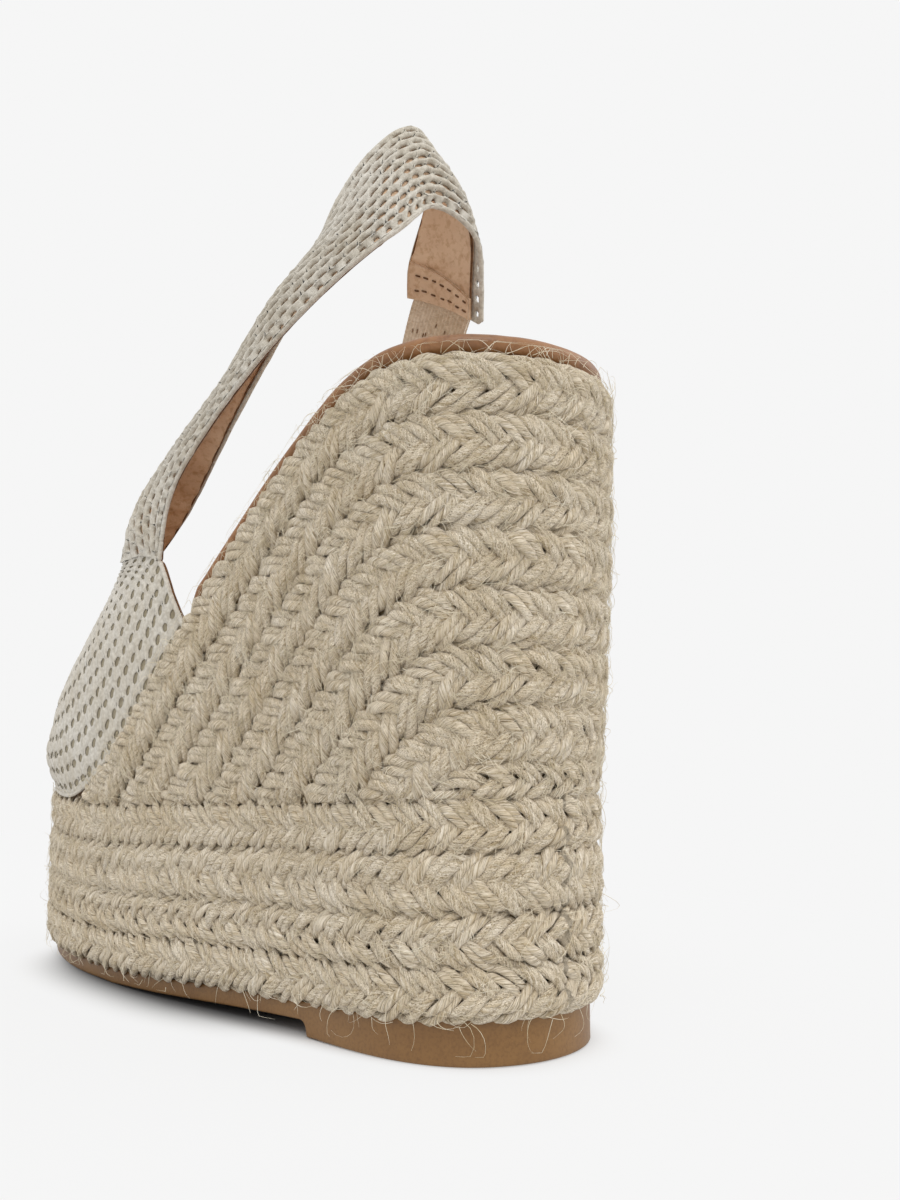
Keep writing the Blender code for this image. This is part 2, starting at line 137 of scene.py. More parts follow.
def outline_normals(line):
    tangent = np.roll(line, -1, 0) - np.roll(line, 1, 0)
    tangent /= np.linalg.norm(tangent, axis=1)[:, None]
    return np.column_stack([-tangent[:, 1], tangent[:, 0]])


OUTLINE = plan_outline()
NORMALS = outline_normals(OUTLINE)
NORMALS *= np.sign(((OUTLINE - OUTLINE.mean(0)) * NORMALS).sum())
TOE_INDEX = int(np.argmin(OUTLINE[:, 1]))


def platform_low(y):
    s = HEEL_Y - y
    fall = (PLATFORM_LIFT_BALL - PLATFORM_LIFT_HEEL) * np.clip(s / (0.62 * LENGTH), 0, 1)
    spring = TOE_SPRING * np.clip((s - 0.7 * LENGTH) / (0.3 * LENGTH), 0, 1) ** 2
    return PLATFORM_LIFT_HEEL + fall + spring


def platform_top(y):
    return platform_low(y) + PLATFORM_THICKNESS


def seat(y):
    s = HEEL_Y - y
    front = platform_top(y) + FRONT_RISE
    return front + (SEAT_HEIGHT - front) * (1 - smooth((s - SLOPE_START) / (SLOPE_END - SLOPE_START)))


def flare(y, z):
    base = platform_top(y)
    level = np.clip((z - base) / (SEAT_HEIGHT - base), 0, 1)
    return WEDGE_FLARE * (1 - (1 - level) ** 2)


def braid_top(y):
    rise = seat(y) - TOPLINE_DROP - platform_top(y)
    rise_front = seat(WEDGE_FRONT) - TOPLINE_DROP - platform_top(WEDGE_FRONT)
    run = (HEEL_Y - y) / (HEEL_Y - WEDGE_FRONT)
    return platform_top(y) + np.maximum(rise - rise_front * run ** 3, 0.0)


def side_x(y, inset, lateral):
    """x of the outline, drawn in by inset, at y on its lateral or medial side."""
    line = OUTLINE - NORMALS * inset
    half = line[:TOE_INDEX] if lateral else line[TOE_INDEX:]
    order = np.argsort(half[:, 1])
    return np.interp(y, half[order, 1], half[order, 0])


def outline_arc():
    step = np.linalg.norm(np.diff(np.vstack([OUTLINE, OUTLINE[:1]]), axis=0), axis=1)
    forward = np.concatenate([[0.0], np.cumsum(step)])[:-1]
    return np.where(forward > step.sum() / 2, forward - step.sum(), forward), step.sum()


ARC, GIRTH = outline_arc()
ARC_ORDER = np.argsort(ARC)


def on_outline(arc):
    """Point and outward normal at arc lengths, which may run past half the girth."""
    arc = (np.asarray(arc, float) + GIRTH / 2) % GIRTH - GIRTH / 2
    return [np.interp(arc, ARC[ARC_ORDER], column[ARC_ORDER], period=GIRTH) for column in
            (OUTLINE[:, 0], OUTLINE[:, 1], NORMALS[:, 0], NORMALS[:, 1])]


def front_arc(lateral):
    """Arc length at which the wedge's plaits start on that side."""
    arcs = ARC[ARC_ORDER]
    side = arcs[arcs > 0] if lateral else arcs[arcs < 0][::-1]
    y = np.interp(side, arcs, OUTLINE[ARC_ORDER, 1])
    return side[np.argmax(y < WEDGE_FRONT)]


def beside(line, out, z):
    """Points that far outside points of the outline, as on_outline gives them, at heights z."""
    x, y, nx, ny = line
    return np.stack([x + nx * out, y + ny * out, z], -1)


def travelled(path):
    """Distance along a path at each of its points."""
    return np.concatenate([[0], np.cumsum(np.linalg.norm(np.diff(path, axis=0), axis=1))])


def unit(vectors):
    return vectors / (np.linalg.norm(vectors, axis=-1)[..., None] + 1e-9)


TOP_ARCS = np.linspace(front_arc(False), front_arc(True), 900)
TOP_EDGE = np.column_stack([TOP_ARCS, braid_top(on_outline(TOP_ARCS)[1])])


def groove(arcs, depth):
    """Heights of the line that runs at that distance under the wedge's top edge, unrolled."""
    high = braid_top(on_outline(arcs)[1])
    low = high - 4.0 * depth - 20.0
    for _ in range(22):
        middle = (low + high) / 2
        away = np.hypot(arcs[:, None] - TOP_EDGE[:, 0], middle[:, None] - TOP_EDGE[:, 1]).min(1)
        low = np.where(away > depth, middle, low)
        high = np.where(away > depth, high, middle)
    return (low + high) / 2


# ------------ making objects

def piece(name, points, faces, surface, slot, body=ROOT, replaces=()):
    """A mesh piece from drawing coordinates in mm; with no body it is attached to no body."""
    points = np.asarray(points, float).reshape(-1, 3)
    world = (points + (CENTRE_X, CENTRE_Y, 0.0)) * MM
    mesh = bpy.data.meshes.new(name)
    mesh.vertices.add(len(world))
    mesh.vertices.foreach_set("co", world.astype(np.float32).ravel())
    count, side = faces.shape
    mesh.loops.add(count * side)
    mesh.loops.foreach_set("vertex_index", faces.astype(np.int32).ravel())
    mesh.polygons.add(count)
    mesh.polygons.foreach_set("loop_start", np.arange(0, count * side, side, dtype=np.int32))
    mesh.update(calc_edges=True)
    mesh.validate()
    mesh.shade_smooth()
    mesh.materials.append(surface)
    made = bpy.data.objects.new(name, mesh)
    bpy.context.scene.collection.objects.link(made)
    if replaces:
        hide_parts(*replaces)
    if body:
        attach(made, body)
    else:
        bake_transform(made)
    return made


def grid_faces(rows, columns, closed_rows=False, closed_columns=False, start=0):
    """Quads of a grid of points, numbered row by row from start."""
    r = np.arange(rows if closed_rows else rows - 1)
    c = np.arange(columns if closed_columns else columns - 1)
    r, c = (a.ravel() for a in np.meshgrid(r, c, indexing="ij"))
    r1, c1 = (r + 1) % rows, (c + 1) % columns
    return start + np.stack([r * columns + c, r * columns + c1, r1 * columns + c1, r1 * columns + c], 1)


def closed_sheet(top, bottom):
    """Points and faces of a sheet between two grids of points."""
    rows, columns = top.shape[:2]
    n = rows * columns
    grid, index = grid_faces(rows, columns), np.arange(n).reshape(rows, columns)
    border = np.concatenate([index[:-1, 0], index[-1, :-1], index[:0:-1, -1], index[0, :0:-1]])
    after = np.roll(border, -1)
    wall = np.stack([border, after, after + n, border + n], -1)
    points = np.concatenate([top.reshape(-1, 3), bottom.reshape(-1, 3)])
    return points, np.concatenate([grid[:, ::-1], grid + n, wall])


# ------------ materials

WHITE = (255, 255, 255)
# white of the world's light; the floor's painted glow uses it too
GLOW = (0.921, 0.921, 0.921, 1.0)


def new_material(name):
    made = bpy.data.materials.new(name)
    made.use_nodes = True
    tree = made.node_tree
    return made, tree, tree.nodes["Principled BSDF"]


def feed(tree, made, inputs):
    """Link a node's inputs to sockets, or set them to values."""
    for key, value in inputs.items():
        if isinstance(value, bpy.types.NodeSocket):
            tree.links.new(value, made.inputs[key])
        else:
            made.inputs[key].default_value = value


def node(tree, kind, inputs=(), **settings):
    made = tree.nodes.new(kind)
    for key, value in settings.items():
        setattr(made, key, value)
    feed(tree, made, dict(inputs))
    return made


def linear(r, g, b):
    """Linear colour from 0-255 display values."""
    return tuple(c / 255 / 12.92 if c / 255 <= 0.04045 else ((c / 255 + 0.055) / 1.055) ** 2.4
                 for c in (r, g, b))


def ramp(tree, factor, stops):
    """Colour ramp through (place, display colour) stops."""
    made = node(tree, "ShaderNodeValToRGB", {"Fac": factor})
    elements = made.color_ramp.elements
    while len(elements) < len(stops):
        elements.new(0.5)
    for element, (place, colour) in zip(elements, stops):
        element.position = place
        element.color = (*linear(*colour), 1.0)
    return made.outputs["Color"]


def position(tree, scale=1.0):
    coordinate = node(tree, "ShaderNodeTexCoord")
    return node(tree, "ShaderNodeVectorMath", {0: coordinate.outputs["Object"], "Scale": scale},
                operation="SCALE").outputs[0]


def noise(tree, vector, scale, detail=3.0, roughness=0.6):
    return node(tree, "ShaderNodeTexNoise", {"Vector": vector, "Scale": scale, "Detail": detail,
                                             "Roughness": roughness}).outputs["Fac"]


def tinted(tree, factor, colour, tint):
    """Colour multiplied by a tint, by that share."""
    return node(tree, "ShaderNodeMix", {0: factor, 6: colour, 7: tint}, data_type="RGBA",
                blend_type="MULTIPLY").outputs[2]


def bump(tree, height, distance, strength=1.0, normal=None):
    inputs = {"Height": height, "Distance": distance, "Strength": strength}
    if normal is not None:
        inputs["Normal"] = normal
    return node(tree, "ShaderNodeBump", inputs).outputs["Normal"]


def finish_material(tree, shader, colour, normal, roughness, **inputs):
    if normal is not None:
        inputs["Normal"] = normal
    feed(tree, shader, {"Base Color": colour, "Roughness": roughness, **inputs})


def jute_material():
    """Fibres run along each yarn: the noise is read in the yarn's own twisting coordinates."""
    made, tree, shader = new_material("jute_yarn")
    fibre = node(tree, "ShaderNodeAttribute", attribute_name="fibre").outputs["Vector"]
    fine = noise(tree, fibre, 3.0, 2.0, 0.6)
    coarse = noise(tree, fibre, 1.1, 2.0, 0.5)
    patch = noise(tree, position(tree), 95.0, 3.0, 0.6)
    base = ramp(tree, fine, [(0.30, (134, 119, 94)), (0.42, (197, 185, 164)),
                             (0.55, (224, 214, 196)), (0.70, (245, 239, 228))])
    tint = ramp(tree, coarse, [(0.32, (214, 202, 178)), (0.54, (255, 252, 248))])
    shade = ramp(tree, patch, [(0.35, (240, 234, 222)), (0.65, WHITE)])
    colour = tinted(tree, 0.8, tinted(tree, 0.8, base, tint), shade)
    normal = bump(tree, coarse, 0.0005, 0.6, bump(tree, fine, 0.00045, 0.9))
    finish_material(tree, shader, colour, normal, 0.8,
                    **{"Sheen Weight": 0.2, "Sheen Roughness": 0.5, "Specular IOR Level": 0.2})
    return made


def hair_material():
    made, tree, shader = new_material("jute_fuzz")
    patch = noise(tree, position(tree), 160.0, 2.0)
    colour = ramp(tree, patch, [(0.3, (196, 180, 146)), (0.7, (236, 228, 208))])
    finish_material(tree, shader, colour, None, 0.65, **{"Specular IOR Level": 0.3})
    return made


def cloth_material(name, dark, light, thread=2600.0, depth=0.00012):
    """Cotton yarn: fine twisted threads with slight unevenness."""
    made, tree, shader = new_material(name)
    place = position(tree)
    fine = noise(tree, place, thread, 2.0, 0.6)
    mid = noise(tree, place, 900.0, 3.0, 0.6)
    patch = noise(tree, place, 70.0, 3.0)
    base = ramp(tree, mid, [(0.3, dark), (0.68, light)])
    shade = ramp(tree, patch, [(0.35, (240, 236, 228)), (0.65, WHITE)])
    normal = bump(tree, mid, depth * 2.2, 0.7, bump(tree, fine, depth, 0.8))
    finish_material(tree, shader, tinted(tree, 0.8, base, shade), normal, 0.85,
                    **{"Sheen Weight": 0.3, "Sheen Roughness": 0.45, "Specular IOR Level": 0.25})
    return made


def leather_material(name, dark, light, rough=0.5, grain=1900.0, depth=0.00006):
    made, tree, shader = new_material(name)
    place = position(tree)
    cells = node(tree, "ShaderNodeTexVoronoi", {"Vector": place, "Scale": grain, "Randomness": 1.0},
                 feature="SMOOTH_F1").outputs["Distance"]
    patch = noise(tree, place, 55.0, 4.0, 0.6)
    pore = noise(tree, place, 520.0, 3.0, 0.65)
    base = ramp(tree, patch, [(0.32, dark), (0.66, light)])
    speckle = ramp(tree, pore, [(0.33, (214, 196, 172)), (0.52, WHITE)])
    normal = bump(tree, pore, depth * 3, 0.5, bump(tree, cells, depth, 0.6))
    uneven = node(tree, "ShaderNodeMapRange", {"Value": pore, "To Min": rough - 0.08, "To Max": rough + 0.12})
    finish_material(tree, shader, tinted(tree, 0.7, base, speckle), normal, uneven.outputs["Result"])
    return made


def rubber_material():
    made, tree, shader = new_material("outsole_rubber_brown")
    place = position(tree)
    patch = noise(tree, place, 60.0, 3.0)
    speck = noise(tree, place, 1500.0, 2.0)
    base = ramp(tree, patch, [(0.3, (112, 77, 36)), (0.7, (130, 94, 48))])
    fleck = ramp(tree, speck, [(0.3, (215, 205, 190)), (0.55, WHITE)])
    finish_material(tree, shader, tinted(tree, 0.6, base, fleck), bump(tree, speck, 0.00008, 0.6), 0.48)
    return made


def plain_material(name, dark, light, scale=1200.0, depth=0.0003):
    """Foam, board, or the jute ground whose dark colour is painted shade: one noise for colour and relief."""
    made, tree, shader = new_material(name)
    cells = noise(tree, position(tree), scale, 3.0)
    colour = ramp(tree, cells, [(0.3, dark), (0.7, light)])
    finish_material(tree, shader, colour, bump(tree, cells, depth), 0.9)
    return made


JUTE = jute_material()
HAIR = hair_material()
# painted shade: the jute ground behind the plaits is coloured darker than the yarn to stand for the shade down in
# the grooves
PAINTED_SHADE_BACKING = plain_material("jute_backing_painted_shade", (118, 100, 72), (156, 137, 104), 700.0, 0.0004)
NET = cloth_material("cotton_net_yarn", (173, 166, 153), (210, 205, 195))
WEB = cloth_material("elastic_web_cream", (194, 174, 150), (220, 202, 180), 2000.0, 0.00010)
LINING = leather_material("lining_peach", (198, 165, 134), (216, 186, 155), 0.62, 1500.0, 0.00008)
# painted shade: a dark olive sheet between the vamp's net and its lining, seen through the holes as the shade
# inside the shoe
PAINTED_SHADE_SCRIM = cloth_material("vamp_backing_painted_shade", (126, 116, 94), (152, 142, 118))
RIM_LEATHER = leather_material("rim_leather_tan", (120, 80, 44), (146, 102, 62), 0.38)
SOCK_LEATHER = leather_material("sock_leather_tan", (166, 126, 88), (190, 150, 110), 0.55, 1500.0)
RUBBER = rubber_material()
ELASTIC_MARK = cloth_material("elastic_mark_brown", (120, 96, 72), (150, 124, 98), 4000.0, 0.00005)
THREAD = cloth_material("stitch_thread_brown", (78, 52, 30), (120, 84, 52), 4000.0, 0.00005)


# ------------ plaits

YARN_SIDES = 8
YARN_STEP = 1.1
YARN_RADIUS = 0.097          # of the band's width
YARN_WIDE, YARN_HIGH = 1.06, 0.82
YARN_TWIST = 11.0
STRANDS = 5
STRAND_REACH = 0.88          # how near the band's edge a strand turns back
STRAND_RISE = 1.0
STRAND_SINK = 1.75
YARN_LANES = (-0.5, 0.5)
LANE_SPREAD = 0.165          # of the band's width
EDGE_DIP = 1.5
DEEPEST = -4.3
PLAIT_PERIOD = 28.0
GROUND_DEPTH = 3.2


def wobble(length, spacing, count, generator):
    """Smooth random curve with unit spread, one value per sample, with features that long."""
    knots = generator.normal(size=int(length / spacing) + 4)
    at = np.linspace(0.5, len(knots) - 2.5, count)
    i = at.astype(int)
    t = smooth(at - i)
    return knots[i] * (1 - t) + knots[i + 1] * t


def plait(name, length, place, width, converge, closed, seed, replaces, visible=None):
    """A flat plait of strands of two yarns, laid along a band of that width.

    place(s, across, out) gives drawing points; converge -1 or 1 says which way the chevrons point;
    visible(s, across) leaves out what runs past the band's end.
    """
    generator = np.random.default_rng(seed)
    count = int(length / YARN_STEP)
    s = np.linspace(0, length, count, endpoint=not closed)
    periods = round(length / PLAIT_PERIOD)
    theta = np.arange(YARN_SIDES) * 2 * math.pi / YARN_SIDES
    half = width / 2
    points, fibres, faces = [], [], []
    start = 0
    drift = wobble(length, 23.0, count, generator) * 0.35
    if closed:
        drift *= np.sin(np.pi * s / length) ** 0.25
    for strand in range(STRANDS):
        phase = 2 * math.pi * (s / length * periods + strand / STRANDS) + drift * 0.5
        across = half * STRAND_REACH * np.sin(phase)
        rise = converge * STRAND_RISE * np.sin(2 * phase)
        slope = np.gradient(across, s)
        norm = np.sqrt(1 + slope ** 2)
        for lane in YARN_LANES:
            loose = generator.uniform(0.8, 1.2)
            spread = lane * width * LANE_SPREAD
            jog = wobble(length, 7.0, count, generator) * 0.22 * loose
            along = s - spread * slope / norm * 0.85
            side = across + spread / norm + jog
            out = rise - STRAND_SINK + wobble(length, 6.0, count, generator) * 0.16
            out = np.maximum(out - EDGE_DIP * (np.abs(side) / half) ** 3.0, DEEPEST)
            radius = width * YARN_RADIUS * (1 + 0.10 * wobble(length, 5.0, count, generator))
            centre = place(along, side, out)
            if closed:
                tangent = unit(np.roll(centre, -1, 0) - np.roll(centre, 1, 0))
            else:
                tangent = unit(np.gradient(centre, axis=0))
            normal = place(along, side, out + 1.0) - centre
            normal = unit(normal - tangent * (normal * tangent).sum(1)[:, None])
            third = np.cross(tangent, normal)
            travel = travelled(centre)
            turn = 2 * math.pi * travel / YARN_TWIST * (1 if strand % 2 else -1)
            r = radius[:, None] * (1 + 0.10 * np.cos(2 * (theta[None] - turn[:, None])))
            cos, sin = np.cos(theta)[None] * r, np.sin(theta)[None] * r
            ring = (centre[:, None] + third[:, None] * (cos * YARN_WIDE)[..., None]
                    + normal[:, None] * (sin * YARN_HIGH)[..., None])
            keep = np.ones(count, bool) if visible is None else visible(along, side)
            offset = generator.uniform(0, 60)
            spin = theta[None] - turn[:, None] * 1.4
            local = np.stack([np.broadcast_to(travel[:, None] * 0.075 + offset, spin.shape),
                              np.cos(spin) * r * 1.5, np.sin(spin) * r * 1.5], -1)
            points.append(ring.reshape(-1, 3))
            fibres.append(local.reshape(-1, 3))
            quads = grid_faces(count, YARN_SIDES, closed, True, start)
            rows = np.repeat(np.arange(count if closed else count - 1), YARN_SIDES)
            faces.append(quads[keep[rows] & keep[(rows + 1) % count]])
            start += count * YARN_SIDES
    points, fibres, faces = np.concatenate(points), np.concatenate(fibres), np.concatenate(faces)
    used, inverse = np.unique(faces, return_inverse=True)
    made = piece(name, points[used], inverse.reshape(faces.shape), JUTE, "jute_braid", replaces=replaces)
    layer = made.data.attributes.new("fibre", "FLOAT_VECTOR", "POINT")
    layer.data.foreach_set("vector", fibres[used].astype(np.float32).ravel())


def base_place(low, high):
    middle = PLATFORM_THICKNESS * (low + high) / 2

    def place(s, across, out):
        line = on_outline(s)
        return beside(line, out, platform_low(line[1]) + middle + across)
    return place


CHEVRONS = (1, -1, -1, 1)
for index, (low, high) in enumerate(zip(BASE_EDGES[:-1], BASE_EDGES[1:])):
    plait(f"platform_plait_{index + 1}", GIRTH, base_place(low, high), PLATFORM_THICKNESS * (high - low),
          CHEVRONS[index], True, 100 + index, [f"base_braid_{index + 1}"])


def wedge_path(depth):
    """The line at that depth under the top edge, unrolled: (arc, z) points evenly spaced, and its length."""
    arcs = np.linspace(TOP_ARCS[0], TOP_ARCS[-1], 1400)
    z = groove(arcs, depth)
    y = on_outline(arcs)[1]
    inside = np.flatnonzero(z > platform_top(y) - 3.0)
    line = np.column_stack([arcs, z])[inside[0]:inside[-1] + 1]
    kernel = np.hanning(41)
    kernel /= kernel.sum()
    padded = np.concatenate([2 * line[0] - line[20:0:-1], line, 2 * line[-1] - line[-2:-22:-1]])
    line = np.column_stack([np.convolve(padded[:, k], kernel, "valid") for k in range(2)])
    run = travelled(line)
    even = np.linspace(0, run[-1], int(run[-1] / 0.5))
    line = np.column_stack([np.interp(even, run, line[:, k]) for k in range(2)])
    return line, run[-1]


def wedge_place(line, length):
    tangent = np.gradient(line, axis=0)
    tangent /= np.linalg.norm(tangent, axis=1)[:, None]
    at = np.linspace(0, length, len(line))

    def unrolled(s, across):
        s = np.asarray(s, float)
        u, z = (np.interp(s, at, line[:, k]) for k in range(2))
        tu, tz = (np.interp(s, at, tangent[:, k]) for k in range(2))
        beyond = s - np.clip(s, 0, length)
        return u + tu * beyond - tz * across, z + tz * beyond + tu * across

    def place(s, across, out):
        u, z = unrolled(s, across)
        line = on_outline(u)
        sink = np.clip((platform_top(line[1]) + 1.2 - z) / 1.6, 0, 1) * 1.8
        return beside(line, flare(line[1], z) + out - sink, z)

    def visible(s, across):
        u, z = unrolled(s, across)
        return z > platform_top(on_outline(u)[1]) - 0.6
    return place, visible


WEDGE_PLAITS = 8
LAST_DEPTH, LAST_WIDTH = 7.3, 0.75      # the lowest plait is narrower; both are shares of WEDGE_PLAIT
TOP_LIFT = 1.5                          # the top plait covers the leather edge along the slope
for index in range(WEDGE_PLAITS):
    last = index == WEDGE_PLAITS - 1
    line, length = wedge_path((LAST_DEPTH if last else index + 0.5) * WEDGE_PLAIT)
    if index == 0:
        line[:, 1] += TOP_LIFT * np.clip((72 - on_outline(line[:, 0])[1]) / 27, 0, 1)
    place, visible = wedge_place(line, length)
    plait(f"wedge_plait_{index + 1}", length, place, WEDGE_PLAIT * (LAST_WIDTH if last else 1.0), 1, False,
          200 + index, [f"wedge_braid_{index + 1}"], visible)


def backing():
    """Jute ground behind the plaits, seen only down in the grooves, where its dark colour is painted shade."""
    line = on_outline(np.linspace(0, GIRTH, 240, endpoint=False))
    low, high = platform_low(line[1]), platform_top(line[1])
    base = [beside(line, -out, z) for z, out in
            ((low + 1.0, 4.4), (low + 1.4, GROUND_DEPTH), (high - 0.8, GROUND_DEPTH), (high - 0.6, 4.6))]
    line = on_outline(np.linspace(TOP_ARCS[0] + 3, TOP_ARCS[-1] - 3, 200))
    low, high = platform_top(line[1]), braid_top(line[1]) - 1.2
    wall = []
    for level in np.linspace(0, 1, 12):
        z = low - 0.4 + (high - low + 0.4) * level
        wall.append(beside(line, flare(line[1], z) - GROUND_DEPTH, z))
    faces = np.concatenate([grid_faces(4, 240, closed_columns=True), grid_faces(12, 200, start=4 * 240)])
    piece("plait_backing_painted_shade", np.concatenate(base + wall), faces, PAINTED_SHADE_BACKING, "jute_braid")


backing()


# ------------ upper: cages of the CAD

VAMP_LATERAL = [
    (9.5, [(36.2, 2.0, 104.5), (36.0, -4.6, 113.0), (35.8, -15.0, 116.0), (35.0, -28.5, 115.5),
           (29.5, -35.0, 117.0), (21.5, -36.0, 119.0)]),
    (-14.0, [(38.4, -25.0, 90.0), (35.4, -40.0, 102.5), (27.0, -46.0, 108.0), (18.0, -45.5, 110.5)]),
    (-36.0, [(38.6, -45.0, 74.0), (34.4, -58.0, 90.0), (24.0, -58.0, 99.0), (12.0, -52.5, 104.0)]),
    (-58.0, [(37.6, -65.0, 62.5), (31.0, -76.0, 78.0), (18.0, -68.0, 92.0), (7.0, -57.0, 100.5)]),
    (-78.0, [(31.5, -84.0, 62.0), (21.0, -85.0, 76.0), (10.0, -72.0, 90.5), (3.0, -59.5, 99.0)]),
    (-91.0, [(22.0, -92.5, 61.5), (13.5, -87.0, 75.5), (5.5, -74.0, 89.5), (1.4, -59.9, 98.8)]),
]
TOE_CORNER = [(18.5, -97.5, 61.5), (14.0, -94.0, 67.5), (8.0, -85.0, 79.0), (2.5, -72.0, 90.5),
              (0.6, -60.0, 98.6)]
TOE_CENTRE = [(0.0, -100.5, 65.5), (0.0, -93.0, 73.0), (0.0, -76.0, 87.5), (0.0, -60.0, 98.5)]
VAMP_RIM_INSET = 1.7
VAMP_RIM_LIFT = 1.2
SLING = [
    [(36.1, -2.5, 123.5), (35.2, -23.5, 124.5), (21.0, -23.0, 127.0)],
    [(35.9, 1.0, 131.5), (34.7, -14.0, 135.0), (21.5, -11.5, 135.0)],
    [(35.0, 10.4, 141.2), (33.2, 4.5, 148.0), (24.5, 4.8, 144.0)],
    [(33.5, 30.0, 154.3), (30.2, 23.0, 162.0), (26.4, 25.8, 158.5)],
    [(30.5, 51.0, 166.5), (27.8, 41.0, 177.5), (24.5, 41.0, 174.5)],
    [(23.0, 70.5, 179.5), (23.3, 62.5, 188.5), (21.5, 55.0, 197.0)],
    [(15.0, 73.5, 187.5), (15.3, 68.5, 200.0), (13.8, 60.5, 212.0)],
    [(3.5, 70.5, 196.5), (4.0, 69.5, 208.0), (4.0, 63.5, 219.0)],
    [(-6.0, 72.5, 193.0), (-5.5, 70.0, 202.5), (-3.5, 60.0, 209.5)],
    [(-13.0, 69.0, 184.5), (-11.5, 60.5, 190.5), (-7.5, 47.5, 192.0)],
    [(-18.0, 63.5, 174.0), (-15.5, 54.0, 180.5), (-11.0, 43.0, 185.8)],
]
ELASTIC = [
    [(-19.6, 56.5, 174.4), (-13.6, 41.5, 184.6)],
    [(-22.8, 47.0, 164.4), (-17.0, 32.5, 174.6)],
    [(-26.2, 38.5, 155.0), (-20.5, 24.5, 165.0)],
]
MEDIAL_TAB = [
    [(-26.8, 36.5, 152.3), (-24.5, 29.0, 158.0), (-20.5, 21.8, 163.2)],
    [(-31.0, 22.5, 141.0), (-31.0, 13.5, 148.0), (-25.0, 9.5, 152.0)],
    [(-34.6, 8.5, 131.5), (-34.5, -6.0, 137.0), (-23.0, -8.0, 139.0)],
    [(-36.3, -2.5, 123.5), (-35.3, -23.0, 125.5), (-20.5, -23.0, 128.5)],
]


def surface_grid(cage, rows, columns, power=0.75):
    across = [spline(section, columns, power=power) for section in cage]
    return np.stack([spline([s[c] for s in across], rows) for c in range(columns)], axis=1)


def vamp_section(y, points, side):
    x = side_x(y, VAMP_RIM_INSET, side > 0)
    return [(x, y, braid_top(y) + VAMP_RIM_LIFT)] + [(side * px, py, pz) for px, py, pz in points]


def vamp_cage():
    lateral = [vamp_section(y, points, 1) for y, points in VAMP_LATERAL]
    medial = [vamp_section(y, points, -1) for y, points in VAMP_LATERAL[::-1]]
    toe = [TOE_CORNER, TOE_CENTRE, [(-x, y, z) for x, y, z in TOE_CORNER]]
    return lateral + toe + medial


class Surface:
    """A smooth surface from a fine grid: points and outward normals at shares (u along, v across)."""

    def __init__(self, grid):
        self.grid = grid
        along, across = np.gradient(grid, axis=0), np.gradient(grid, axis=1)
        self.normal = unit(np.cross(along, across))
        self.length = np.linalg.norm(np.diff(grid[:, grid.shape[1] // 3], axis=0), axis=1).sum()

    def at(self, u, v, out=0.0):
        rows, columns = self.grid.shape[:2]
        r = np.clip(np.asarray(u, float), 0, 1) * (rows - 1)
        c = np.clip(np.asarray(v, float), 0, 1) * (columns - 1)
        i, j = np.minimum(r.astype(int), rows - 2), np.minimum(c.astype(int), columns - 2)
        a, b = (r - i)[..., None], (c - j)[..., None]
        corners = ((i, j, (1 - a) * (1 - b)), (i + 1, j, a * (1 - b)), (i, j + 1, (1 - a) * b),
                   (i + 1, j + 1, a * b))
        point, normal = (sum(field[m, n] * share for m, n, share in corners) for field in (self.grid, self.normal))
        return point + normal * np.asarray(out, float)[..., None]


# A cell of the net is 4 by 2 steps: the steps round its edge, and the cords round its hole, outermost
# first, as (size in hole sizes, share of the edge's height).
CELL_EDGE = np.array([(0, 0), (1, 0), (2, 0), (3, 0), (4, 0), (4, 1), (4, 2), (3, 2), (2, 2), (1, 2), (0, 2),
                      (0, 1)])
HOLE_RINGS = ((1.75, 0.93), (1.22, 0.52), (1.0, 0.0))
HALF_CELL = ((0, 3, 4, 1), (1, 4, 5, 2), (3, 6, 7, 4), (4, 7, 8, 5))
NET_BACK = 0.12              # height of the net's inner side above the surface


